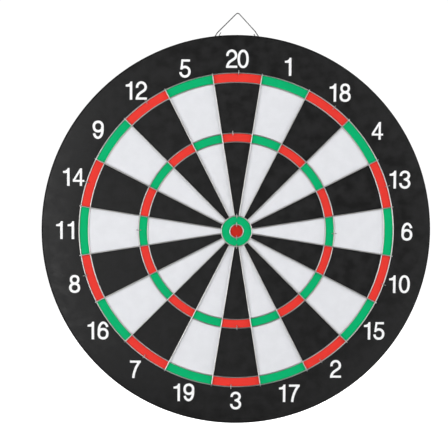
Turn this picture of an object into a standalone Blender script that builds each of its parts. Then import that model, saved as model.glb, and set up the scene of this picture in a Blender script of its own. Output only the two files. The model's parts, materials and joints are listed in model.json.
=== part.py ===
"""Dartboard with a steel target sheet, a stapled wire spider and a swinging wire hanger.

Metres, +Z up. The face looks along -Y. The origin is the hanging point: the underside of the hanger's
apex, where the wall nail bears. The board is laid out in its own flat frame, board_frame, whose XY plane is
the front of the printed face (+X right, +Y up the board) and whose +Z points at the player.
"""

import math

import bmesh
import bpy
from mathutils import Matrix, Vector

MM = 0.001
GAP = 0.3 * MM  # clearance between pieces that touch

# The board's layers, from the front of the printed face to the back.
BOARD_RADIUS = 216.6 * MM
BAND_THICKNESS = 1.2 * MM
BAND_EDGE_RADIUS = 1.0 * MM
FACE_THICKNESS = 1.0 * MM
STEEL_THICKNESS = 0.8 * MM
CORE_THICKNESS = 15.3 * MM
BACK_COVER_THICKNESS = 1.0 * MM
DISC_SIDES = 96

# The wire spider. Ring sizes are the radii of the wires' centre lines.
WIRE_RADIUS = 0.65 * MM
RING_WIRES = {
    "double_outer_wire": 174.8 * MM,
    "double_inner_wire": 164.4 * MM,
    "treble_outer_wire": 108.8 * MM,
    "treble_inner_wire": 98.9 * MM,
    "outer_bull_wire": 17.0 * MM,
    "inner_bull_wire": 7.5 * MM,
}
RING_STEPS = 80
BULL_RING_STEPS = 40
RING_WIRE_SIDES = 6
RADIAL_WIRE_SIDES = 8
RADIAL_WIRE_START = 16.4 * MM
RADIAL_WIRE_END = 176.4 * MM
SECTORS = [20, 1, 18, 4, 13, 6, 10, 15, 2, 17, 3, 19, 7, 16, 8, 11, 14, 9, 12, 5]
SECTOR_ANGLE = math.radians(360 / len(SECTORS))

# Staples: each holds a ring wire down near the middle of a sector. They are driven by hand, so each has its
# own place, in degrees clockwise from the sector's middle and outwards from the ring wire.
STAPLE_WIRE_RADIUS = 0.45 * MM
STAPLE_SPAN = 4.6 * MM  # between the legs' centre lines
STAPLE_LENGTH = 11.0 * MM
STAPLE_CORNER_RADIUS = 0.6 * MM
DOUBLE_STAPLES = {
    20: (0.5, 0.6 * MM),
    18: (2.0, -0.4 * MM),
    13: (1.2, 0.5 * MM),
    10: (1.8, 0.5 * MM),
    2: (2.8, -0.8 * MM),
    3: (1.8, 0.1 * MM),
    7: (0.2, -0.8 * MM),
    8: (1.5, 0.4 * MM),
    14: (0.0, -0.4 * MM),
    12: (0.8, -0.3 * MM),
}
TREBLE_STAPLES = {
    20: (-2.5, 0.0 * MM),
    6: (1.2, 0.0 * MM),
    3: (-0.5, -0.8 * MM),
    11: (0.5, -0.1 * MM),
}
BULL_STAPLE_SECTORS = {"top": 20, "bottom": 3}
LEG_HOLE_SIDES = 6

# The hanger, in its own plane: (across, up from the hinge line, radius of the bend there).
HINGE_HEIGHT = 207.0 * MM  # above the board's centre
HINGE_BEHIND_COVER = 1.5 * MM
HANGER_LEAN = math.radians(2)
HANGER_CORNERS = [
    (-17.8 * MM, 14.7 * MM, 0),
    (-26.4 * MM, 0, 1.2 * MM),
    (-31.1 * MM, 0, 1.2 * MM),
    (-22.0 * MM, 14.5 * MM, 8.0 * MM),
    (0.8 * MM, 37.1 * MM, 2.5 * MM),
    (20.4 * MM, 16.2 * MM, 8.0 * MM),
    (31.4 * MM, 0, 1.2 * MM),
    (26.4 * MM, 0, 1.2 * MM),
    (18.8 * MM, 13.4 * MM, 0),
]
BEND_STEPS = 4
HANGER_STAPLE_ACROSS = {"left": -28.0 * MM, "right": 28.0 * MM}

# Rubber pads that keep the hanger's staples off the wall.
PAD_RADIUS = 8.0 * MM
PAD_HEIGHT = 4.0 * MM  # from the back cover to the wall
PAD_EDGE_RADIUS = 0.8 * MM
PAD_CIRCLE_RADIUS = 170.0 * MM
PAD_DEGREES = {"right": 30, "left": 150, "bottom": 270}
PAD_SIDES = 24

# Depths below the front of the face.
STEEL_FRONT = -FACE_THICKNESS - GAP
CORE_FRONT = STEEL_FRONT - STEEL_THICKNESS - GAP
COVER_FRONT = CORE_FRONT - CORE_THICKNESS - GAP
BOARD_BACK = COVER_FRONT - BACK_COVER_THICKNESS
HINGE_DEPTH = BOARD_BACK - HINGE_BEHIND_COVER

# Heights above the face, and of the staple crowns over the wires.
RING_WIRE_HEIGHT = GAP + WIRE_RADIUS
RADIAL_WIRE_HEIGHT = RING_WIRE_HEIGHT + 2 * WIRE_RADIUS + GAP
CROWN_OVER_WIRE = WIRE_RADIUS + GAP + STAPLE_WIRE_RADIUS

SMOOTH_ANGLE = math.radians(35)


def clear_scene():
    for existing in list(bpy.data.objects):
        bpy.data.objects.remove(existing)


def new_collection(name):
    collection = bpy.data.collections.new(name)
    bpy.context.scene.collection.children.link(collection)
    return collection


def new_material(name, colour, roughness, metallic=0.0):
    material = bpy.data.materials.new(name)
    material.use_nodes = True
    shader = material.node_tree.nodes["Principled BSDF"]
    shader.inputs["Base Color"].default_value = (*colour, 1.0)
    shader.inputs["Roughness"].default_value = roughness
    shader.inputs["Metallic"].default_value = metallic
    return material


def new_part(name, data, material, location=(0, 0, 0), rotation=(0, 0, 0)):
    """A named piece in the board's frame."""
    part = bpy.data.objects.new(name, data)
    data.materials.append(material)
    parts.objects.link(part)
    part.parent = board_frame
    part.location = location
    part.rotation_euler = rotation
    return part


def on_board(radius, angle):
    """The point at a radius and a clockwise angle from the top of the board."""
    return radius * math.sin(angle), radius * math.cos(angle)


def mesh_from(bm, name):
    mesh = bpy.data.meshes.new(name)
    bm.to_mesh(mesh)
    bm.free()
    mesh.shade_smooth()
    mesh.set_sharp_from_angle(angle=SMOOTH_ANGLE)
    return mesh


def cylinder_mesh(name, radius, bottom, top, sides):
    bm = bmesh.new()
    middle = Matrix.Translation((0, 0, (bottom + top) / 2))
    bmesh.ops.create_cone(
        bm, cap_ends=True, segments=sides, radius1=radius, radius2=radius, depth=top - bottom, matrix=middle
    )
    return mesh_from(bm, name)


def rounded_path(corners):
    """Points along straight runs joined by arcs. Each corner is (point, bend radius)."""
    path = [corners[0][0]]
    for (before, _), (corner, bend_radius), (after, _) in zip(corners, corners[1:], corners[2:]):
        to_before = (before - corner).normalized()
        to_after = (after - corner).normalized()
        half_angle = to_before.angle(to_after) / 2
        centre = corner + (to_before + to_after).normalized() * bend_radius / math.sin(half_angle)
        tangent = bend_radius / math.tan(half_angle)
        start = (corner + to_before * tangent - centre).normalized()
        end = (corner + to_after * tangent - centre).normalized()
        for step in range(BEND_STEPS + 1):
            path.append(centre + start.slerp(end, step / BEND_STEPS) * bend_radius)
    path.append(corners[-1][0])
    return path


def wire_curve(name, path, radius):
    curve = bpy.data.curves.new(name, "CURVE")
    curve.dimensions = "3D"
    curve.bevel_depth = radius
    curve.bevel_resolution = 2
    curve.use_fill_caps = True
    spline = curve.splines.new("POLY")
    spline.points.add(len(path) - 1)
    for point, place in zip(spline.points, path):
        point.co = (*place, 1)
    return curve


def staple_curve():
    """A U of wire with its crown along Y at height 0 and its legs pointing down."""
    half = STAPLE_SPAN / 2
    corners = [
        (Vector((0, -half, -STAPLE_LENGTH)), 0),
        (Vector((0, -half, 0)), STAPLE_CORNER_RADIUS),
        (Vector((0, half, 0)), STAPLE_CORNER_RADIUS),
        (Vector((0, half, -STAPLE_LENGTH)), 0),
    ]
    return wire_curve("staple", rounded_path(corners), STAPLE_WIRE_RADIUS)


def ring_staple_places():
    """Name, radius and angle of the middle of each staple's crown on the face."""
    places = []
    for ring, staples in (("double", DOUBLE_STAPLES), ("treble", TREBLE_STAPLES)):
        ring_radius = RING_WIRES[ring + "_outer_wire"]
        for sector, (degrees, outward) in staples.items():
            angle = SECTORS.index(sector) * SECTOR_ANGLE + math.radians(degrees)
            places.append((f"{ring}_staple_{sector}", ring_radius + outward, angle))
    for bull in ("outer_bull", "inner_bull"):
        ring_radius = RING_WIRES[bull + "_wire"]
        for side, sector in BULL_STAPLE_SECTORS.items():
            places.append((f"{bull}_staple_{side}", ring_radius, SECTORS.index(sector) * SECTOR_ANGLE))
    return places


def make_staples(material):
    """Both kinds of staple, and the legs that need holes: (x, y, bottom, top) of each."""
    legs = []
    crown_height = RING_WIRE_HEIGHT + CROWN_OVER_WIRE
    for name, radius, angle in ring_staple_places():
        new_part(name, staple_curve(), material, (*on_board(radius, angle), crown_height), (0, 0, -angle))
        for side in (-1, 1):
            leg = on_board(radius + side * STAPLE_SPAN / 2, angle)
            legs.append((*leg, crown_height - STAPLE_LENGTH - GAP, crown_height))
    crown_depth = HINGE_DEPTH - CROWN_OVER_WIRE
    turned_over = (math.pi, 0, 0)
    for side_name, x in HANGER_STAPLE_ACROSS.items():
        name = f"hanger_staple_{side_name}"
        new_part(name, staple_curve(), material, (x, HINGE_HEIGHT, crown_depth), turned_over)
        for side in (-1, 1):
            leg_height = HINGE_HEIGHT + side * STAPLE_SPAN / 2
            legs.append((x, leg_height, crown_depth, crown_depth + STAPLE_LENGTH + GAP))
    return legs


def make_leg_cutter(legs):
    """One cutter with a prism round every staple leg."""
    clearance_radius = (STAPLE_WIRE_RADIUS + GAP) / math.cos(math.pi / LEG_HOLE_SIDES)
    bm = bmesh.new()
    for x, y, bottom, top in legs:
        bmesh.ops.create_cone(
            bm,
            cap_ends=True,
            segments=LEG_HOLE_SIDES,
            radius1=clearance_radius,
            radius2=clearance_radius,
            depth=top - bottom,
            matrix=Matrix.Translation((x, y, (bottom + top) / 2)),
        )
    cutter = bpy.data.objects.new("staple_leg_cutter", mesh_from(bm, "staple_leg_cutter"))
    cutters.objects.link(cutter)
    cutter.parent = board_frame
    cutter.hide_render = True
    cutter.display_type = "WIRE"
    return cutter


def make_layers(cutter, flock, steel, board, cover):
    """The four discs of the board, pierced for the staples."""
    disc_radius = BOARD_RADIUS - BAND_THICKNESS - GAP
    layers = [
        ("printed_face", -FACE_THICKNESS, 0, flock),
        ("steel_target_sheet", STEEL_FRONT - STEEL_THICKNESS, STEEL_FRONT, steel),
        ("core_board", CORE_FRONT - CORE_THICKNESS, CORE_FRONT, board),
        ("back_cover", BOARD_BACK, COVER_FRONT, cover),
    ]
    for name, bottom, top, material in layers:
        disc = new_part(name, cylinder_mesh(name, disc_radius, bottom, top, DISC_SIDES), material)
        holes = disc.modifiers.new("staple_holes", "BOOLEAN")
        holes.operation = "DIFFERENCE"
        holes.solver = "EXACT"
        holes.object = cutter


def make_rim_band(material):
    """A band round the board's edge, its outer corners rounded, turned about the board's axis."""
    inner = BOARD_RADIUS - BAND_THICKNESS
    round_middle = BOARD_RADIUS - BAND_EDGE_RADIUS
    profile = []
    for middle_height, first_degrees in ((-BAND_EDGE_RADIUS, 90), (BOARD_BACK + BAND_EDGE_RADIUS, 0)):
        for step in range(3):
            angle = math.radians(first_degrees - 45 * step)
            x = round_middle + BAND_EDGE_RADIUS * math.cos(angle)
            profile.append((x, 0, middle_height + BAND_EDGE_RADIUS * math.sin(angle)))
    profile += [(inner, 0, BOARD_BACK), (inner, 0, 0)]
    bm = bmesh.new()
    corners = [bm.verts.new(point) for point in profile]
    for first, second in zip(corners, corners[1:] + corners[:1]):
        bm.edges.new((first, second))
    band = new_part("rim_band", mesh_from(bm, "rim_band"), material)
    turn = band.modifiers.new("turn", "SCREW")
    turn.axis = "Z"
    turn.steps = DISC_SIDES
    turn.render_steps = DISC_SIDES
    turn.use_merge_vertices = True
    turn.merge_threshold = 0.00001


def make_ring_wires(material):
    for name, radius in RING_WIRES.items():
        bpy.ops.mesh.primitive_torus_add(
            major_segments=BULL_RING_STEPS if "bull" in name else RING_STEPS,
            minor_segments=RING_WIRE_SIDES,
            major_radius=radius,
            minor_radius=WIRE_RADIUS,
        )
        torus = bpy.context.object
        ring = torus.data
        bpy.data.objects.remove(torus)
        ring.shade_smooth()
        new_part(name, ring, material, (0, 0, RING_WIRE_HEIGHT))


def make_radial_wires(material):
    """One straight wire over each border between two sectors, numbered clockwise from the top."""
    for number in range(len(SECTORS)):
        angle = (number + 0.5) * SECTOR_ANGLE
        name = f"radial_wire_{number + 1:02d}"
        wire = cylinder_mesh(name, WIRE_RADIUS, RADIAL_WIRE_START, RADIAL_WIRE_END, RADIAL_WIRE_SIDES)
        along_radius = (-math.pi / 2, 0, -angle)
        new_part(name, wire, material, (0, 0, RADIAL_WIRE_HEIGHT), along_radius)


def hanger_path():
    return rounded_path([(Vector((x, y, 0)), bend_radius) for x, y, bend_radius in HANGER_CORNERS])


def make_hanger(material):
    """A bent wire whose two feet turn in the hanger staples, leaning forward against the board's edge."""
    wire = wire_curve("hanger_wire", hanger_path(), WIRE_RADIUS)
    new_part("hanger_wire", wire, material, (0, HINGE_HEIGHT, HINGE_DEPTH), (HANGER_LEAN, 0, 0))


def make_wall_pads(material):
    for name, degrees in PAD_DEGREES.items():
        angle = math.radians(degrees)
        height = PAD_HEIGHT - GAP
        pad_mesh = cylinder_mesh("wall_pad", PAD_RADIUS, -height, 0, PAD_SIDES)
        place = (PAD_CIRCLE_RADIUS * math.cos(angle), PAD_CIRCLE_RADIUS * math.sin(angle), BOARD_BACK - GAP)
        pad = new_part(f"wall_pad_{name}", pad_mesh, material, place)
        edge = pad.modifiers.new("edge", "BEVEL")
        edge.width = PAD_EDGE_RADIUS
        edge.segments = 2
        edge.limit_method = "ANGLE"


def place_board_frame():
    """Stands the board up, face to -Y, with the underside of the hanger's apex at the origin."""
    apex = max(hanger_path(), key=lambda point: point.y)
    apex_y = HINGE_HEIGHT + apex.y * math.cos(HANGER_LEAN) - WIRE_RADIUS
    apex_z = HINGE_DEPTH + apex.y * math.sin(HANGER_LEAN)
    board_frame.rotation_euler = (math.pi / 2, 0, 0)
    board_frame.location = (-apex.x, apex_z, -apex_y)


clear_scene()
parts = new_collection("magnetic_dartboard")
cutters = new_collection("cutters")
board_frame = bpy.data.objects.new("board_frame", None)
parts.objects.link(board_frame)
place_board_frame()

bright_wire = new_material("bright_wire", (0.62, 0.63, 0.64), 0.32, 1.0)
staple_steel = new_material("staple_steel", (0.55, 0.56, 0.58), 0.38, 1.0)
hanger_steel = new_material("hanger_steel", (0.42, 0.42, 0.43), 0.42, 1.0)
sheet_steel = new_material("sheet_steel", (0.40, 0.41, 0.42), 0.45, 1.0)
black_flock = new_material("black_flock", (0.022, 0.022, 0.024), 0.9)
wound_paper = new_material("wound_paper", (0.36, 0.27, 0.18), 0.85)
backing_board = new_material("backing_board", (0.05, 0.045, 0.04), 0.8)
black_band = new_material("black_band", (0.018, 0.018, 0.020), 0.6)
pad_rubber = new_material("pad_rubber", (0.03, 0.03, 0.03), 0.7)

staple_legs = make_staples(staple_steel)
make_layers(make_leg_cutter(staple_legs), black_flock, sheet_steel, wound_paper, backing_board)
make_rim_band(black_band)
make_ring_wires(bright_wire)
make_radial_wires(bright_wire)
make_hanger(hanger_steel)
make_wall_pads(pad_rubber)
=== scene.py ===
"""Looks of the dartboard: flocked face, printed numbers, wire spider, staples, hanger, band, back and pads.

Metres. Pieces are modelled in the board's flat frame and then stood up: +X right, +Y up the board and +Z
toward the player, with the origin in the middle of the face's front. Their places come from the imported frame.
"""

import json
import math

import bmesh
import bpy
import numpy as np
from mathutils import Matrix, Vector, geometry, noise


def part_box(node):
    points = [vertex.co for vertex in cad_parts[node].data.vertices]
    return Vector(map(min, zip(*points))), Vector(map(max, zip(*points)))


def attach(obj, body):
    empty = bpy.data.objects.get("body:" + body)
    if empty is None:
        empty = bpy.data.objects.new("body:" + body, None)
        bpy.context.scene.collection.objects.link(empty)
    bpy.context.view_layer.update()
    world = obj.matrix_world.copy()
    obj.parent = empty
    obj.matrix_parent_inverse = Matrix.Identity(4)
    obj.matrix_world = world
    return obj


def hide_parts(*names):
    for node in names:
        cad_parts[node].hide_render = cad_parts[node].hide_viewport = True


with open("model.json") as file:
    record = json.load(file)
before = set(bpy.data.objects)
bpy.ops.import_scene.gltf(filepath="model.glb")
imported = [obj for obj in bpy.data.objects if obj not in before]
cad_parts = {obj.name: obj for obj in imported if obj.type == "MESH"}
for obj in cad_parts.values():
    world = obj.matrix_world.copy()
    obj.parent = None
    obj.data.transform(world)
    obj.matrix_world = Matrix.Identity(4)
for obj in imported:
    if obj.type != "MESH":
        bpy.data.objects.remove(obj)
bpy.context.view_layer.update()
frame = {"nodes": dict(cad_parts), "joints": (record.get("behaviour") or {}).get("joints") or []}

MM = 0.001
FULL_TURN = 2 * math.pi

# The game's layout, clockwise from the top.
SECTORS = [20, 1, 18, 4, 13, 6, 10, 15, 2, 17, 3, 19, 7, 16, 8, 11, 14, 9, 12, 5]
SECTOR_ANGLE = FULL_TURN / len(SECTORS)

# Wires and staples, as in the CAD source.
WIRE_RADIUS = 0.65 * MM
STAPLE_WIRE_RADIUS = 0.45 * MM
STAPLE_SPAN = 4.6 * MM
STAPLE_LENGTH = 11.0 * MM
STAPLE_CORNER_RADIUS = 0.6 * MM
RING_SEAT = 0.55 * MM  # a ring wire's middle above the face, pressed a little into the nap
WIRE_WANDER = 0.10 * MM  # how far a hand-set wire strays from its true line
WELD_SINK = 0.25 * MM  # how far a radial wire is fused into a ring wire
WELD_SIZE = (0.62 * MM, 0.62 * MM, 0.38 * MM)  # half the weld's width, length and height
RADIAL_STEPS = 40
RADIAL_SEAT = RING_SEAT + 2 * WIRE_RADIUS - WELD_SINK
CROWN_SEAT = RING_SEAT + WIRE_RADIUS + STAPLE_WIRE_RADIUS
HANGER_LEAN = math.radians(2)
HANGER_CORNERS = [
    (-17.8 * MM, 14.7 * MM, 0),
    (-26.4 * MM, 0, 1.2 * MM),
    (-31.1 * MM, 0, 1.2 * MM),
    (-22.0 * MM, 14.5 * MM, 8.0 * MM),
    (0.8 * MM, 37.1 * MM, 2.5 * MM),
    (20.4 * MM, 16.2 * MM, 8.0 * MM),
    (31.4 * MM, 0, 1.2 * MM),
    (26.4 * MM, 0, 1.2 * MM),
    (18.8 * MM, 13.4 * MM, 0),
]

# The printed face.
FIELD_GAP = 0.2 * MM  # between two fields, under a wire
FIELD_THICKNESS = 0.3 * MM
FIELD_SINK = 0.05 * MM  # how far a field is let into the sheet under it
FIELD_STEP = 1.5 * MM  # length of a facet on a field's curved edge
NUMBER_HEIGHT = 19.8 * MM
NUMBER_CIRCLE_RADIUS = 190.8 * MM
# How far each number is set off its place on the circle, in millimetres to the right and up. These were
# measured on the photograph and rounded to half a millimetre.
NUMBER_SHIFTS = {
    20: (0, -0.5),
    1: (-2, 0.5),
    18: (1, -0.5),
    4: (1.5, 0),
    13: (-0.5, -1),
    6: (-0.5, 0),
    10: (0.5, 0),
    15: (0, 0.5),
    2: (0, -0.5),
    17: (0.5, -1),
    3: (0, 0),
    19: (0, 0),
    7: (-0.5, -1),
    16: (-0.5, 0.5),
    8: (1.5, -0.5),
    11: (1.5, 0.5),
    14: (0, 0.5),
    9: (1, -0.5),
    12: (0, 0.5),
    5: (1.5, -2),
}
INK_THICKNESS = 0.08 * MM
INK_SINK = 0.04 * MM

# Digits, in units of their height.
CELL_WIDTH = 0.638
STROKE = 0.138
BAR = 0.125

# Band, back cover and pads.
BAND_CORNER = 1.0 * MM  # radius of its rolled corners
BAND_LIP = 0.2 * MM  # radius of its inner corners
BAND_GAP = 0.3 * MM  # between the band and the layers inside it
FACE_EDGE = 0.25 * MM
COVER_EDGE = 0.3 * MM
PAD_EDGE = 0.8 * MM
PAD_DISH = 0.5 * MM  # depth of the dish in a pad's middle
PAD_DISH_FLOOR = 0.45  # the dish's flat floor and its rim, in pad radii
PAD_DISH_RIM = 0.55
PAD_FOOT = 0.3 * MM  # the small bevel where a pad meets the back

LATHE_STEPS = 256
SOLID_SMOOTH = 35  # degrees: a sharper edge than this stays sharp
WIRE_SMOOTH = 60
ON_AXIS = 1e-9  # a radius below this is a point on the axis


# ---------------------------------------------------------------- places taken from the frame


def board_points(node):
    """A CAD node's vertices in the board's frame, one per row."""
    points = np.array([vertex.co for vertex in frame["nodes"][node].data.vertices])
    return (points - np.array(board_centre)) @ np.array(stand_up.to_3x3())


def board_box(node):
    points = board_points(node)
    return Vector(points.min(0)), Vector(points.max(0))


band_low, band_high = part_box("rim_band")
board_centre = Vector(((band_low.x + band_high.x) / 2, band_low.y, (band_low.z + band_high.z) / 2))
stand_up = Matrix.Rotation(math.pi / 2, 4, "X")
board_to_world = Matrix.Translation(board_centre) @ stand_up
BOARD_RADIUS = (band_high.x - band_low.x) / 2
FACE_RADIUS = board_box("printed_face")[1].x


def ring_radius(node):
    return board_box(node)[1].x - WIRE_RADIUS


DOUBLE_OUTER = ring_radius("double_outer_wire")
DOUBLE_INNER = ring_radius("double_inner_wire")
TREBLE_OUTER = ring_radius("treble_outer_wire")
TREBLE_INNER = ring_radius("treble_inner_wire")
OUTER_BULL = ring_radius("outer_bull_wire")
INNER_BULL = ring_radius("inner_bull_wire")


# ---------------------------------------------------------------- mesh helpers


def mesh_piece(name, mesh, material, body="board", place=None, smooth=SOLID_SMOOTH):
    """A named piece of the board, standing in the world and riding on its body."""
    mesh.name = name
    mesh.materials.append(material)
    mesh.shade_smooth()
    mesh.set_sharp_from_angle(angle=math.radians(smooth))
    piece = bpy.data.objects.new(name, mesh)
    bpy.context.scene.collection.objects.link(piece)
    piece.matrix_world = board_to_world @ (place or Matrix.Identity(4))
    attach(piece, body)
    return piece


def mesh_of(bm):
    bmesh.ops.recalc_face_normals(bm, faces=bm.faces)
    mesh = bpy.data.meshes.new("piece")
    bm.to_mesh(mesh)
    bm.free()
    return mesh


def at_angle(radius, angle, height=0.0):
    """The point at a radius and a clockwise angle from the top of the board."""
    return Vector((radius * math.sin(angle), radius * math.cos(angle), height))


def lathe(profile, steps=LATHE_STEPS):
    """A closed solid turned about Z.

    The profile's (radius, height) points start and end on the axis, or else it is closed up to a ring.
    """
    starts_on_axis = profile[0][0] < ON_AXIS
    bm = bmesh.new()
    rings = []
    for radius, height in profile:
        if radius < ON_AXIS:
            rings.append([bm.verts.new((0, 0, height))] * steps)
        else:
            points = [at_angle(radius, FULL_TURN * i / steps, height) for i in range(steps)]
            rings.append([bm.verts.new(point) for point in points])
    for inner, outer in zip(rings, rings[1:] if starts_on_axis else rings[1:] + rings[:1]):
        for i in range(steps):
            j = (i + 1) % steps
            corners = [inner[i], inner[j], outer[j], outer[i]]
            bm.faces.new([v for k, v in enumerate(corners) if v not in corners[:k]])
    return mesh_of(bm)


def corner_arc(centre, radius, start, end, steps):
    """Profile points round a corner, angles in degrees anticlockwise from the outward radius."""
    points = []
    for i in range(steps + 1):
        angle = math.radians(start + (end - start) * i / steps)
        points.append((centre[0] + radius * math.cos(angle), centre[1] + radius * math.sin(angle)))
    return points


def frames_along(path, closed):
    """A twist-free pair of side directions at every point of a path."""
    points = [Vector(p) for p in path]
    count = len(points)
    tangents = []
    for i in range(count):
        before = points[i - 1] if closed or i else points[i]
        after = points[(i + 1) % count] if closed or i < count - 1 else points[i]
        tangents.append((after - before).normalized())
    side = tangents[0].orthogonal().normalized()
    pairs = []
    for i, tangent in enumerate(tangents):
        if i:
            side = tangents[i - 1].rotation_difference(tangent) @ side
        side = (side - tangent * side.dot(tangent)).normalized()
        pairs.append((side, tangent.cross(side)))
    return points, pairs


def sweep(bm, path, radius, sides, closed=False, end_radius=0.25 * MM):
    """Adds a round wire along a path, its cut ends slightly rounded. UVs are metres along and round it."""
    points, pairs = frames_along(path, closed)
    radii = [radius] * len(points)
    if not closed:
        after_start = points[0] + (points[1] - points[0]).normalized() * end_radius
        before_end = points[-1] - (points[-1] - points[-2]).normalized() * end_radius
        points = [points[0], after_start, *points[1:-1], before_end, points[-1]]
        pairs = [pairs[0], *pairs, pairs[-1]]
        radii = [radius - end_radius, *radii, radius - end_radius]
    layer = bm.loops.layers.uv.verify()
    lengths = [0.0]
    for a, b in zip(points, points[1:] + points[:1]):
        lengths.append(lengths[-1] + (b - a).length)
    rings = []
    for point, (side, up), r in zip(points, pairs, radii):
        turns = [FULL_TURN * k / sides for k in range(sides)]
        rings.append([bm.verts.new(point + (side * math.cos(t) + up * math.sin(t)) * r) for t in turns])
    count = len(rings)
    round_step = FULL_TURN * radius / sides
    for i in range(count if closed else count - 1):
        here, there = rings[i], rings[(i + 1) % count]
        for k in range(sides):
            face = bm.faces.new([here[k], here[(k + 1) % sides], there[(k + 1) % sides], there[k]])
            corners = [(lengths[i], k), (lengths[i], k + 1), (lengths[i + 1], k + 1), (lengths[i + 1], k)]
            for loop, (along, turn) in zip(face.loops, corners):
                loop[layer].uv = (along, turn * round_step)
    if not closed:
        bm.faces.new(rings[0][::-1])
        bm.faces.new(rings[-1])


def rounded_path(corners, bend_steps):
    """Points along straight runs joined by arcs. Each corner is (point, bend radius)."""
    path = [corners[0][0]]
    for (before, _), (corner, bend_radius), (after, _) in zip(corners, corners[1:], corners[2:]):
        to_before = (before - corner).normalized()
        to_after = (after - corner).normalized()
        half_angle = to_before.angle(to_after) / 2
        centre = corner + (to_before + to_after).normalized() * bend_radius / math.sin(half_angle)
        tangent = bend_radius / math.tan(half_angle)
        start = (corner + to_before * tangent - centre).normalized()
        end = (corner + to_after * tangent - centre).normalized()
        for step in range(bend_steps + 1):
            path.append(centre + start.slerp(end, step / bend_steps) * bend_radius)
    path.append(corners[-1][0])
    return path


def raised_from(bm, outlines, low, high):
    """Adds closed solids over flat outlines. Outlines may overlap: they come out as one shape."""
    points = []
    faces = []
    for outline in outlines:
        area = sum(a[0] * b[1] - b[0] * a[1] for a, b in zip(outline, [*outline[1:], outline[0]]))
        ordered = outline if area > 0 else list(reversed(outline))
        faces.append(list(range(len(points), len(points) + len(ordered))))
        points += [Vector((p[0], p[1])) for p in ordered]
    flat_points, _, flat_faces, _, _, sources = geometry.delaunay_2d_cdt(points, [], faces, 1, 1e-7)
    flat_faces = [face for face, source in zip(flat_faces, sources) if source]
    top = [bm.verts.new((p.x, p.y, high)) for p in flat_points]
    bottom = [bm.verts.new((p.x, p.y, low)) for p in flat_points]
    edge_count = {}
    for face in flat_faces:
        bm.faces.new([top[i] for i in face])
        bm.faces.new([bottom[i] for i in reversed(face)])
        for a, b in zip(face, [*face[1:], face[0]]):
            edge_count[(a, b)] = edge_count.get((a, b), 0) + 1
    for a, b in edge_count:
        if (b, a) not in edge_count:
            bm.faces.new([top[a], bottom[a], bottom[b], top[b]])
    loose = [v for v in top + bottom if not v.link_faces]
    bmesh.ops.delete(bm, geom=loose, context="VERTS")


# ---------------------------------------------------------------- material helpers


class Look:
    """A node material with a Principled shader, and short ways to add nodes to it."""

    def __init__(self, name, roughness, metallic=0.0, **sockets):
        self.material = bpy.data.materials.new(name)
        self.material.use_nodes = True
        self.nodes = self.material.node_tree.nodes
        self.links = self.material.node_tree.links
        self.shader = self.nodes["Principled BSDF"]
        self.shader.inputs["Roughness"].default_value = roughness
        self.shader.inputs["Metallic"].default_value = metallic
        for socket, value in sockets.items():
            self.shader.inputs[socket.replace("_", " ")].default_value = value
        self.coordinates = self.nodes.new("ShaderNodeTexCoord")
        self.where = self.coordinates.outputs["Object"]

    def node(self, kind, *inputs, **settings):
        node = self.nodes.new(kind)
        for key, value in settings.items():
            setattr(node, key, value)
        for socket, value in inputs:
            if isinstance(value, bpy.types.NodeSocket):
                self.links.new(value, node.inputs[socket])
            else:
                node.inputs[socket].default_value = value
        return node

    def noise(self, size, detail=2.0, roughness=0.5, where=None, distortion=0.0):
        """Noise whose features are about this size."""
        made = self.node(
            "ShaderNodeTexNoise",
            ("Vector", where or self.where),
            ("Scale", 1 / size),
            ("Detail", detail),
            ("Roughness", roughness),
            ("Distortion", distortion),
        )
        return made.outputs["Fac"]

    def stretched(self, scale, output="UV"):
        """Coordinates scaled by axis, for streaks along a wire or a sheet."""
        source = self.coordinates.outputs[output]
        return self.node("ShaderNodeMapping", ("Vector", source), ("Scale", scale)).outputs["Vector"]

    def ranged(self, value, low, high, out_low=0.0, out_high=1.0):
        made = self.node(
            "ShaderNodeMapRange",
            ("Value", value),
            ("From Min", low),
            ("From Max", high),
            ("To Min", out_low),
            ("To Max", out_high),
        )
        return made.outputs["Result"]

    def mixed(self, factor, first, second):
        """A blend of two colours. A colour Mix node's sockets are 0, 6 and 7, and its result is 2."""
        made = self.node("ShaderNodeMix", (0, factor), data_type="RGBA")
        for socket, value in ((6, first), (7, second)):
            if isinstance(value, bpy.types.NodeSocket):
                self.links.new(value, made.inputs[socket])
            else:
                made.inputs[socket].default_value = value
        return made.outputs[2]

    def maths(self, operation, first, second):
        return self.node("ShaderNodeMath", (0, first), (1, second), operation=operation).outputs[0]

    def colour(self, value):
        self.links.new(value, self.shader.inputs["Base Color"])

    def roughness(self, value):
        self.links.new(value, self.shader.inputs["Roughness"])

    def bump(self, height, depth, strength):
        made = self.node("ShaderNodeBump", ("Height", height), ("Strength", strength), ("Distance", depth))
        self.links.new(made.outputs["Normal"], self.shader.inputs["Normal"])


def shade(colour, factor):
    return (*[c * factor for c in colour], 1.0)


def flock_look(name, colour, spread, fleck, shine=0.15, roughness=0.6):
    """Short dyed fibres glued to the sheet: soft mottling, a fine nap and almost no shine."""
    look = Look(name, roughness, Specular_IOR_Level=shine, Sheen_Weight=0.02, Sheen_Roughness=0.45)
    mottle = look.noise(12 * MM, 3.0, 0.55)
    nap = look.noise(0.9 * MM, 4.0, 0.7)
    fibres = look.noise(0.32 * MM, 2.0, 0.6, distortion=1.2)
    base = look.mixed(look.ranged(mottle, 0.38, 0.62), shade(colour, 1 - spread), shade(colour, 1 + spread))
    worked = look.mixed(look.ranged(nap, 0.35, 0.75), base, shade(colour, 1 - fleck))
    look.colour(worked)
    look.roughness(look.ranged(mottle, 0.38, 0.62, roughness - 0.08, roughness + 0.08))
    height = look.maths("ADD", look.maths("MULTIPLY", nap, 0.7), look.maths("MULTIPLY", fibres, 0.5))
    look.bump(height, 0.12 * MM, 0.55)
    return look.material


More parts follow.
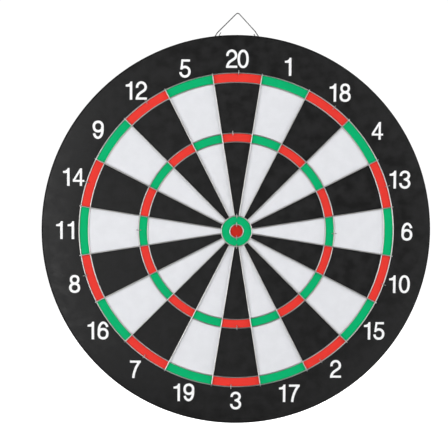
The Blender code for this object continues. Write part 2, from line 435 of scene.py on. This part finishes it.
def ink_look():
    """Thick white screen ink over the flock: the nap still shows faintly through it."""
    look = Look("number_ink", 0.55, Specular_IOR_Level=0.2)
    mottle = look.noise(9 * MM, 3.0, 0.6)
    nap = look.noise(0.8 * MM, 4.0, 0.65)
    look.colour(look.mixed(look.ranged(mottle, 0.3, 0.7), (0.94, 0.94, 0.945, 1), (0.98, 0.98, 0.98, 1)))
    look.roughness(look.ranged(nap, 0.3, 0.7, 0.5, 0.65))
    look.bump(nap, 0.05 * MM, 0.5)
    return look.material


def wire_look(name, colour, dull, roughness, tarnish):
    """Drawn steel wire: streaks along its length, and patches where the plating has dulled."""
    look = Look(name, roughness, 1.0)
    streaks = look.noise(1.0, 3.0, 0.6, look.stretched((120, 5200, 1)))
    patches = look.noise(9 * MM, 4.0, 0.6)
    base = look.mixed(look.ranged(streaks, 0.3, 0.7), (*colour, 1), shade(colour, 0.90))
    look.colour(look.mixed(look.ranged(patches, 0.52, 0.75, 0.0, tarnish), base, (*dull, 1)))
    look.roughness(look.ranged(patches, 0.35, 0.8, roughness, roughness + 0.18))
    look.bump(streaks, 0.01 * MM, 0.5)
    return look.material


def vinyl_look():
    """The black band: fine leather-like pebbling, with greyer, rougher scuffed patches."""
    look = Look("rim_vinyl", 0.5, Specular_IOR_Level=0.12)
    pebble = look.node("ShaderNodeTexVoronoi", ("Vector", look.where), ("Scale", 1 / (0.9 * MM)))
    scuffs = look.noise(14 * MM, 5.0, 0.65)
    fine = look.noise(0.5 * MM, 3.0, 0.6)
    base = look.mixed(look.ranged(scuffs, 0.35, 0.7), (0.011, 0.011, 0.0115, 1), (0.020, 0.020, 0.0205, 1))
    look.colour(base)
    look.roughness(look.ranged(scuffs, 0.3, 0.75, 0.45, 0.62))
    grain = look.maths("ADD", pebble.outputs["Distance"], look.maths("MULTIPLY", fine, 0.4))
    look.bump(grain, 0.06 * MM, 0.5)
    return look.material


def board_look():
    """Dark pressed fibreboard: matted fibres, lighter chips and a faint press texture."""
    look = Look("backing_board", 0.78, Specular_IOR_Level=0.25)
    fibres = look.noise(1.6 * MM, 6.0, 0.72, distortion=1.5)
    chips = look.noise(3.5 * MM, 3.0, 0.5, distortion=2.5)
    patches = look.noise(60 * MM, 3.0, 0.5)
    base = look.mixed(look.ranged(fibres, 0.3, 0.7), (0.045, 0.036, 0.028, 1), (0.085, 0.068, 0.050, 1))
    chipped = look.mixed(look.ranged(chips, 0.62, 0.72, 0.0, 0.55), base, (0.15, 0.12, 0.088, 1))
    look.colour(look.mixed(look.ranged(patches, 0.35, 0.65, 0.0, 0.3), chipped, (0.035, 0.029, 0.023, 1)))
    look.roughness(look.ranged(fibres, 0.3, 0.7, 0.7, 0.88))
    look.bump(look.maths("ADD", fibres, chips), 0.10 * MM, 0.6)
    return look.material


def paper_look():
    """Wound kraft paper: fine layers, in rings round the frame's Y axis."""
    look = Look("wound_paper", 0.85, Specular_IOR_Level=0.2)
    rings = look.node(
        "ShaderNodeTexWave",
        ("Vector", look.where),
        ("Scale", 1 / (2.2 * MM)),
        ("Distortion", 2.0),
        ("Detail", 3.0),
        wave_type="RINGS",
        rings_direction="Y",
    )
    fibres = look.noise(0.8 * MM, 4.0, 0.6)
    base = look.mixed(rings.outputs["Fac"], (0.30, 0.22, 0.14, 1), (0.42, 0.33, 0.22, 1))
    look.colour(look.mixed(look.ranged(fibres, 0.35, 0.7, 0.0, 0.5), base, (0.24, 0.17, 0.11, 1)))
    look.bump(fibres, 0.08 * MM, 0.5)
    return look.material


def sheet_steel_look():
    """Cold-rolled steel: faint rolling lines and oily patches."""
    look = Look("target_steel", 0.36, 1.0)
    lines = look.noise(1.0, 3.0, 0.6, look.stretched((30, 1500, 1500), "Object"))
    patches = look.noise(40 * MM, 4.0, 0.6)
    base = look.mixed(look.ranged(lines, 0.3, 0.7), (0.46, 0.47, 0.48, 1), (0.56, 0.57, 0.58, 1))
    look.colour(look.mixed(look.ranged(patches, 0.5, 0.75, 0.0, 0.5), base, (0.36, 0.35, 0.34, 1)))
    look.roughness(look.ranged(patches, 0.3, 0.7, 0.3, 0.48))
    look.bump(lines, 0.02 * MM, 0.4)
    return look.material


def rubber_look():
    """Moulded rubber: matt, with a fine spark-eroded texture and grey dust."""
    look = Look("pad_rubber", 0.7, Specular_IOR_Level=0.35)
    grain = look.noise(0.4 * MM, 4.0, 0.6)
    dust = look.noise(5 * MM, 4.0, 0.65)
    look.colour(look.mixed(look.ranged(dust, 0.45, 0.75), (0.018, 0.018, 0.019, 1), (0.045, 0.044, 0.042, 1)))
    look.roughness(look.ranged(dust, 0.35, 0.7, 0.62, 0.82))
    look.bump(grain, 0.05 * MM, 0.6)
    return look.material


def floor_look():
    """Near-white paper with its own light, so that no horizon shows."""
    look = Look("floor", 0.7, Specular_IOR_Level=0.2)
    cloud = look.noise(0.4, 3.0, 0.5)
    look.colour(look.mixed(cloud, (0.80, 0.80, 0.80, 1), (0.84, 0.84, 0.84, 1)))
    look.shader.inputs["Emission Color"].default_value = (1, 1, 1, 1)
    look.shader.inputs["Emission Strength"].default_value = 0.95
    return look.material


black_flock = flock_look("black_flock", (0.0062, 0.0062, 0.0064), 0.9, 0.25, 0.26, 0.5)
white_flock = flock_look("white_flock", (0.800, 0.807, 0.837), 0.025, 0.035)
red_flock = flock_look("red_flock", (0.87, 0.046, 0.034), 0.03, 0.08, 0.08)
bull_red_flock = flock_look("bull_red_flock", (0.57, 0.022, 0.013), 0.08, 0.12, 0.08)
green_flock = flock_look("green_flock", (0.002, 0.470, 0.167), 0.03, 0.08, 0.06)
number_ink = ink_look()
bright_wire = wire_look("spider_wire", (0.53, 0.525, 0.515), (0.42, 0.41, 0.395), 0.30, 0.5)
# The spider wire made darker for the treble rings: painted shade standing in for their dimmer highlights.
worn_wire = wire_look("worn_wire", (0.43, 0.425, 0.415), (0.34, 0.33, 0.32), 0.30, 0.5)
staple_wire = wire_look("staple_wire", (0.40, 0.40, 0.39), (0.30, 0.295, 0.285), 0.36, 0.5)
hanger_wire = wire_look("hanger_steel", (0.29, 0.29, 0.29), (0.21, 0.205, 0.20), 0.36, 0.7)
rim_vinyl = vinyl_look()


# ---------------------------------------------------------------- the printed face


def add_field(bm, inner, outer, start, end):
    """One field between two radii and two angles, its edges held back from the wires' middles."""
    inner += FIELD_GAP / 2
    outer -= FIELD_GAP / 2
    steps = min(40, max(8, round((end - start) * outer / FIELD_STEP)))
    arcs = []
    for radius in (outer, inner):
        held_back = FIELD_GAP / 2 / radius
        span = end - start - 2 * held_back
        arcs.append([at_angle(radius, start + held_back + span * i / steps) for i in range(steps + 1)])
    outline = [(p.x, p.y) for p in arcs[0] + arcs[1][::-1]]
    add_prism(bm, outline, -FIELD_THICKNESS - FIELD_SINK, 0.0)


def add_prism(bm, outline, low, high):
    """A closed solid over a strip whose outline goes along one side and back along the other."""
    top = [bm.verts.new((x, y, high)) for x, y in outline]
    bottom = [bm.verts.new((x, y, low)) for x, y in outline]
    count = len(outline)
    half = count // 2
    for i in range(half - 1):
        a, b, c, d = i, i + 1, count - 2 - i, count - 1 - i
        bm.faces.new([top[a], top[b], top[c], top[d]])
        bm.faces.new([bottom[d], bottom[c], bottom[b], bottom[a]])
    for i in range(count):
        j = (i + 1) % count
        bm.faces.new([top[i], bottom[i], bottom[j], top[j]])


def make_fields():
    """Black and red on the even places round the board, white and green on the odd ones."""
    fields = {"black": bmesh.new(), "white": bmesh.new(), "red": bmesh.new(), "green": bmesh.new()}
    for place in range(len(SECTORS)):
        start, end = (place - 0.5) * SECTOR_ANGLE, (place + 0.5) * SECTOR_ANGLE
        colours = ("black", "red") if place % 2 == 0 else ("white", "green")
        single, bed = (fields[colour] for colour in colours)
        add_field(single, OUTER_BULL, TREBLE_INNER, start, end)
        add_field(bed, TREBLE_INNER, TREBLE_OUTER, start, end)
        add_field(single, TREBLE_OUTER, DOUBLE_INNER, start, end)
        add_field(bed, DOUBLE_INNER, DOUBLE_OUTER, start, end)
    low, gap = -FIELD_THICKNESS - FIELD_SINK, FIELD_GAP / 2
    bull_ring = [
        (INNER_BULL + gap, low),
        (OUTER_BULL - gap, low),
        (OUTER_BULL - gap, 0),
        (INNER_BULL + gap, 0),
    ]
    bull = [(0, low), (INNER_BULL - gap, low), (INNER_BULL - gap, 0), (0, 0)]
    looks = {"black": black_flock, "white": white_flock, "red": red_flock, "green": green_flock}
    for colour, bm in fields.items():
        mesh_piece(f"fields_{colour}", mesh_of(bm), looks[colour])
    mesh_piece("bull_outer", lathe(bull_ring, 128), green_flock)
    mesh_piece("bull_inner", lathe(bull, 96), bull_red_flock)


def make_face_sheet():
    """The black sheet under the fields, standing level with them outside the double ring."""
    low, _ = board_box("printed_face")
    step_radius = DOUBLE_OUTER + FIELD_GAP / 2
    profile = [(0, -FIELD_THICKNESS), (step_radius, -FIELD_THICKNESS), (step_radius, 0)]
    profile += corner_arc((FACE_RADIUS - FACE_EDGE, -FACE_EDGE), FACE_EDGE, 90, 0, 3)
    profile += [(FACE_RADIUS, low.z), (0, low.z)]
    sheet = mesh_piece("face_sheet", lathe(profile), black_flock)
    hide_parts("printed_face")


# ---------------------------------------------------------------- the numbers


def stroke_arc(centre, radii, start, end, power=2.0, steps=24):
    """Points on a superellipse from one angle to another, in degrees anticlockwise from +X."""
    points = []
    for i in range(steps + 1):
        angle = math.radians(start + (end - start) * i / steps)
        c, s = math.cos(angle), math.sin(angle)
        x = centre[0] + radii[0] * math.copysign(abs(c) ** (2 / power), c)
        y = centre[1] + radii[1] * math.copysign(abs(s) ** (2 / power), s)
        points.append((x, y))
    return points


def stroke_curve(start, first, second, end, steps=12):
    """Points on a Bezier curve."""
    points = []
    for i in range(steps + 1):
        t = i / steps
        weights = ((1 - t) ** 3, 3 * t * (1 - t) ** 2, 3 * t * t * (1 - t), t**3)
        knots = (start, first, second, end)
        points.append(tuple(sum(w * knot[axis] for w, knot in zip(weights, knots)) for axis in (0, 1)))
    return points


def ribbon(path, width=STROKE):
    """Outlines of the pieces of a stroke of even width along a path."""
    points = np.array(path, float)
    along = np.gradient(points, axis=0)
    along /= np.linalg.norm(along, axis=1)[:, None]
    across = np.stack([-along[:, 1], along[:, 0]], 1) * width / 2
    left, right = points + across, points - across
    corners = zip(left, left[1:], right[1:], right)
    return [[tuple(corner) for corner in outline] for outline in corners]


def bowl(centre, radii, width):
    """Outlines of the pieces of a closed bowl, its sides and its top and bottom of different widths."""
    outer = stroke_arc(centre, radii, 0, 360, 2.2, 64)
    inner = stroke_arc(centre, (radii[0] - width[0], radii[1] - width[1]), 0, 360, 2.2, 64)
    return [[outer[i], outer[i + 1], inner[i + 1], inner[i]] for i in range(len(outer) - 1)]


def bar(left, right, bottom, top):
    return [[(left, bottom), (right, bottom), (right, top), (left, top)]]


def six():
    back = stroke_arc((0.335, 0.50), (0.252, 0.443), 27, 200)
    return bowl((0.319, 0.32), (0.309, 0.33), (STROKE, 0.14)) + ribbon(back)


def one():
    right, left, top = 0.455, 0.315, 1.0
    flag = stroke_curve((right - 0.105, top), (right - 0.125, 0.90), (0.24, 0.835), (0.09, 0.83), 8)
    return [[(left, 0), (right, 0), (right, top), *flag, (0.09, 0.72), (left, 0.72)]]


def two():
    top = stroke_arc((0.322, 0.70), (0.238, 0.25), 190, -30)
    tail = stroke_curve(top[-1], (0.44, 0.44), (0.10, 0.37), (0.08, 0.065))
    return ribbon(top[:-1] + tail) + bar(0.005, 0.63, 0, BAR)


def three():
    upper = stroke_arc((0.315, 0.735), (0.225, 0.21), 187, -85)
    lower = stroke_arc((0.315, 0.285), (0.248, 0.226), 85, -186)
    return ribbon(upper) + ribbon(lower) + bar(0.25, 0.36, 0.468, 0.568)


def four():
    stem = [[(0.38, 0), (0.51, 0), (0.51, 0.985), (0.395, 0.985)]]
    return stem + bar(0, 0.635, 0.23, 0.34) + ribbon([(0.042, 0.305), (0.435, 0.935)], 0.115)


def five():
    belly = stroke_arc((0.302, 0.32), (0.25, 0.265), 132, -176, 2.1)
    neck = ribbon([(0.162, 0.95), (0.10, 0.44)], 0.115)
    return ribbon(belly) + bar(0.105, 0.58, 0.875, 1.0) + neck


def seven():
    leg = stroke_curve((0.55, 0.93), (0.38, 0.68), (0.25, 0.42), (0.205, 0.0))
    return bar(0.02, 0.63, 0.875, 1.0) + ribbon(leg, 0.138)


def eight():
    upper = bowl((0.319, 0.74), (0.268, 0.27), (0.13, 0.13))
    return upper + bowl((0.319, 0.285), (0.309, 0.295), (0.14, 0.135))


def nine():
    """A six turned half a turn."""
    return [[(CELL_WIDTH - x, 1.0 - y) for x, y in outline] for outline in six()]


def zero():
    return bowl((0.319, 0.5), (0.312, 0.512), (0.138, 0.135))


DIGITS = [zero, one, two, three, four, five, six, seven, eight, nine]


def make_numbers():
    """Upright numbers of raised white ink, one near the middle of each sector."""
    for place, number in enumerate(SECTORS):
        digits = [int(character) for character in str(number)]
        centre = at_angle(NUMBER_CIRCLE_RADIUS, place * SECTOR_ANGLE).to_2d()
        centre += Vector(NUMBER_SHIFTS[number]) * MM
        outlines = []
        for position, digit in enumerate(digits):
            left = (position - len(digits) / 2) * CELL_WIDTH
            for outline in DIGITS[digit]():
                outlines.append([((left + x) * NUMBER_HEIGHT, (y - 0.5) * NUMBER_HEIGHT) for x, y in outline])
        bm = bmesh.new()
        raised_from(bm, outlines, -INK_SINK, INK_THICKNESS)
        bmesh.ops.dissolve_limit(bm, angle_limit=math.radians(1), verts=bm.verts, edges=bm.edges)
        place_on_face = Matrix.Translation((centre.x, centre.y, 0))
        mesh_piece(f"number_{number}", mesh_of(bm), number_ink, place=place_on_face)


# ---------------------------------------------------------------- the wires


def make_ring_wires():
    """Each ring wire, very slightly out of true as a hand-bent ring is."""
    for node, steps in (
        ("double_outer_wire", 360),
        ("double_inner_wire", 360),
        ("treble_outer_wire", 300),
        ("treble_inner_wire", 300),
        ("outer_bull_wire", 128),
        ("inner_bull_wire", 96),
    ):
        radius = ring_radius(node)
        seed = Vector((radius * 900, 3.7, 1.9))  # each ring reads its own part of the noise
        path = []
        for i in range(steps):
            angle = FULL_TURN * i / steps
            wander = noise.noise(seed + Vector((math.sin(angle), math.cos(angle), 0)) * 3.1) * WIRE_WANDER
            path.append(at_angle(radius + wander, angle, RING_SEAT))
        bm = bmesh.new()
        sweep(bm, path, WIRE_RADIUS, 16, closed=True)
        name = "ring_" + node.removesuffix("_wire")
        # The treble rings take the darker copy of the wire, which is painted shade.
        look = worn_wire if "treble" in node else bright_wire
        ring = mesh_piece(name, mesh_of(bm), look, smooth=WIRE_SMOOTH)
        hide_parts(node)


def make_radial_wires():
    """Straight wires over the ring wires, joined to each by a small weld."""
    welds = (DOUBLE_OUTER, DOUBLE_INNER, TREBLE_OUTER, TREBLE_INNER, OUTER_BULL)
    for number in range(1, len(SECTORS) + 1):
        node = f"radial_wire_{number:02d}"
        angle = (number - 0.5) * SECTOR_ANGLE
        along = board_points(node) @ np.array(at_angle(1, angle))
        start, end = along.min(), along.max()
        path = []
        for i in range(RADIAL_STEPS + 1):
            radius = start + (end - start) * i / RADIAL_STEPS
            wander = noise.noise(Vector((radius * 18, number * 2.3, 0.5))) * WIRE_WANDER
            path.append(at_angle(radius, angle, RADIAL_SEAT) + at_angle(wander, angle + math.pi / 2))
        bm = bmesh.new()
        sweep(bm, path, WIRE_RADIUS, 14)
        for radius in welds:
            spot = Matrix.Translation(at_angle(radius, angle, (RADIAL_SEAT + RING_SEAT) / 2))
            size = Matrix.Diagonal((*WELD_SIZE, 1))
            bmesh.ops.create_uvsphere(bm, u_segments=12, v_segments=8, radius=1, matrix=spot @ size)
        wire = mesh_piece(f"radial_{number:02d}", mesh_of(bm), bright_wire, smooth=WIRE_SMOOTH)
        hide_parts(node)


def staple_mesh():
    """A U of wire with its crown along Y at height 0 and its legs pointing down to sheared points."""
    half = STAPLE_SPAN / 2
    corners = [
        (Vector((0, -half, -STAPLE_LENGTH)), 0),
        (Vector((0, -half, 0)), STAPLE_CORNER_RADIUS),
        (Vector((0, half, 0)), STAPLE_CORNER_RADIUS),
        (Vector((0, half, -STAPLE_LENGTH)), 0),
    ]
    bm = bmesh.new()
    sweep(bm, rounded_path(corners, 8), STAPLE_WIRE_RADIUS, 12, end_radius=0.2 * MM)
    return mesh_of(bm)


def make_staples():
    """The face's staples straddle their wires along the radius. The hanger's are driven in from behind."""
    for node in sorted(frame["nodes"]):
        if "_staple_" not in node:
            continue
        low, high = board_box(node)
        centre = (low + high) / 2
        if node.startswith("hanger"):
            height, turn = low.z + STAPLE_WIRE_RADIUS, Matrix.Rotation(math.pi, 4, "X")
        else:
            height, turn = CROWN_SEAT, Matrix.Rotation(-math.atan2(centre.x, centre.y), 4, "Z")
        place = Matrix.Translation((centre.x, centre.y, height)) @ turn
        mesh = staple_mesh()
        staple = mesh_piece("pin_" + node, mesh, staple_wire, place=place, smooth=WIRE_SMOOTH)
        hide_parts(node)


def make_hanger():
    """One bent wire on the hinge, its top leaning a little toward the player."""
    hinge = Vector(frame["joints"][0]["pos_m"])
    corners = [(Vector((x, y, 0)), bend_radius) for x, y, bend_radius in HANGER_CORNERS]
    bm = bmesh.new()
    sweep(bm, rounded_path(corners, 12), WIRE_RADIUS, 16)
    hinge_on_board = board_to_world.inverted() @ hinge
    place = Matrix.Translation(hinge_on_board) @ Matrix.Rotation(HANGER_LEAN, 4, "X")
    mesh = mesh_of(bm)
    hanger = mesh_piece("hanger", mesh, hanger_wire, "hanger", place, WIRE_SMOOTH)
    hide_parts("hanger_wire")


# ---------------------------------------------------------------- band, back and pads


def make_band():
    """The band round the edge, rolled over at both corners."""
    low, high = board_box("rim_band")
    outer = BOARD_RADIUS - BAND_CORNER
    inner = FACE_RADIUS + BAND_GAP + BAND_LIP
    profile = corner_arc((outer, high.z - BAND_CORNER), BAND_CORNER, 90, 0, 6)
    profile += corner_arc((outer, low.z + BAND_CORNER), BAND_CORNER, 0, -90, 6)
    profile += corner_arc((inner, low.z + BAND_LIP), BAND_LIP, 270, 180, 2)
    profile += corner_arc((inner, high.z - BAND_LIP), BAND_LIP, 180, 90, 2)
    band = mesh_piece("band", lathe(profile), rim_vinyl)
    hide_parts("rim_band")


def make_back_cover():
    """A plain disc of board, its outer edge slightly rounded."""
    low, high = board_box("back_cover")
    profile = [(0, low.z)]
    profile += corner_arc((FACE_RADIUS - COVER_EDGE, low.z + COVER_EDGE), COVER_EDGE, -90, 0, 3)
    profile += [(FACE_RADIUS, high.z), (0, high.z)]
    cover = mesh_piece("back_board", lathe(profile), board_look())
    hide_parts("back_cover")


def make_pads():
    """Moulded feet with a rounded edge and a shallow dish in the middle."""
    rubber = rubber_look()
    for side in ("left", "right", "bottom"):
        node = f"wall_pad_{side}"
        low, high = board_box(node)
        centre = (low + high) / 2
        radius, depth = (high.x - low.x) / 2, high.z - low.z
        profile = [(0, -depth + PAD_DISH), (radius * PAD_DISH_FLOOR, -depth + PAD_DISH)]
        profile += [(radius * PAD_DISH_RIM, -depth), (radius - PAD_EDGE, -depth)]
        profile += corner_arc((radius - PAD_EDGE, -depth + PAD_EDGE), PAD_EDGE, -90, 0, 4)[1:]
        profile += [(radius, -PAD_FOOT), (radius - PAD_FOOT, 0), (0, 0)]
        place = Matrix.Translation((centre.x, centre.y, high.z))
        pad = mesh_piece(f"pad_{side}", lathe(profile, 64), rubber, place=place)
        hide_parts(node)


def dress_inner_layers():
    """The sheets inside the board keep their CAD shapes."""
    for node, material in (("steel_target_sheet", sheet_steel_look()), ("core_board", paper_look())):
        for slot in frame["nodes"][node].material_slots:
            slot.material = material


# ---------------------------------------------------------------- camera, light and floor

CAMERA_DISTANCE = 1.1
CAMERA_AZIMUTH = math.radians(-1.80)
CAMERA_ELEVATION = math.radians(3.54)
CAMERA_ROLL = math.radians(0.25)
CAMERA_AIM = Vector((-14.0 * MM, 0, 7.9 * MM))
CAMERA_LENS = 79.4
ROOM_RADIANCE = 0.15
BACKDROP_RADIANCE = 1.05
SOFTBOX_DISTANCE = 2.0
FLOOR_DROP = 0.25  # how far the floor lies under the hung board
FLOOR_REACH = 30.0
# Name, degrees off the board's axis, degrees round it anticlockwise from the right, side and radiance.
SOFTBOXES = [
    ("softbox_left", 45, 180, 1.5, 3.25),
    ("softbox_right", 65, 0, 1.4, 2.35),
    ("softbox_upper_right", 45, 45, 0.9, 2.25),
    ("softbox_upper_left", 45, 135, 0.9, 1.0),
    ("softbox_lower_left", 22, 225, 0.9, 2.8),
    ("softbox_lower_right", 45, 315, 0.9, 2.9),
    ("back_left", 118, 170, 1.2, 6.0),
    ("back_right", 112, 10, 1.2, 8.0),
    ("back_top", 140, 80, 1.2, 1.5),
]


def make_camera():
    """The photograph's viewpoint, a little left of the board's axis and above it."""
    camera = bpy.data.objects.new("camera", bpy.data.cameras.new("camera"))
    bpy.context.scene.collection.objects.link(camera)
    camera.data.lens = CAMERA_LENS
    a, e = CAMERA_AZIMUTH, CAMERA_ELEVATION
    back = Vector((math.sin(a) * math.cos(e), -math.cos(a) * math.cos(e), math.sin(e)))
    place = board_centre + back * CAMERA_DISTANCE
    look = (board_centre + CAMERA_AIM - place).to_track_quat("-Z", "Y").to_matrix().to_4x4()
    camera.matrix_world = Matrix.Translation(place) @ look @ Matrix.Rotation(CAMERA_ROLL, 4, "Z")
    bpy.context.scene.camera = camera


def make_softbox(name, off_axis, around, side, radiance):
    """A square lit panel turned to the board."""
    data = bpy.data.lights.new(name, "AREA")
    data.size = side
    data.energy = radiance * 4 * side**2  # so that a panel is as bright whatever its side
    light = bpy.data.objects.new(name, data)
    bpy.context.scene.collection.objects.link(light)
    tilt, turn = math.radians(off_axis), math.radians(around)
    toward = Vector((math.sin(tilt) * math.cos(turn), -math.cos(tilt), math.sin(tilt) * math.sin(turn)))
    light.location = board_centre + toward * SOFTBOX_DISTANCE
    light.rotation_mode = "QUATERNION"
    light.rotation_quaternion = toward.to_track_quat("Z", "Y")


def make_lights():
    """A dim room with softboxes round the board, and a plain white backdrop for the camera."""
    world = bpy.data.worlds.new("studio")
    bpy.context.scene.world = world
    world.use_nodes = True
    nodes, links = world.node_tree.nodes, world.node_tree.links
    room = nodes["Background"]
    room.inputs["Color"].default_value = (0.98, 0.99, 1.0, 1)
    room.inputs["Strength"].default_value = ROOM_RADIANCE
    backdrop = nodes.new("ShaderNodeBackground")
    backdrop.inputs["Color"].default_value = (1, 1, 1, 1)
    backdrop.inputs["Strength"].default_value = BACKDROP_RADIANCE
    path = nodes.new("ShaderNodeLightPath")
    mix = nodes.new("ShaderNodeMixShader")
    links.new(path.outputs["Is Camera Ray"], mix.inputs[0])
    links.new(room.outputs[0], mix.inputs[1])
    links.new(backdrop.outputs[0], mix.inputs[2])
    links.new(mix.outputs[0], nodes["World Output"].inputs["Surface"])
    for softbox in SOFTBOXES:
        make_softbox(*softbox)


def make_floor():
    """A pale floor, lit from its own light so that it stays white out to the horizon."""
    bm = bmesh.new()
    bmesh.ops.create_grid(bm, x_segments=8, y_segments=8, size=FLOOR_REACH)
    mesh = mesh_of(bm)
    mesh.materials.append(floor_look())
    floor = bpy.data.objects.new("floor", mesh)
    bpy.context.scene.collection.objects.link(floor)
    floor.location = (0, 0, band_low.z - FLOOR_DROP)
    floor.visible_diffuse = False
    floor.visible_glossy = False


make_fields()
make_face_sheet()
make_numbers()
make_ring_wires()
make_radial_wires()
make_staples()
make_hanger()
make_band()
make_back_cover()
make_pads()
dress_inner_layers()
make_camera()
make_lights()
make_floor()
bpy.context.scene.view_settings.view_transform = "Standard"
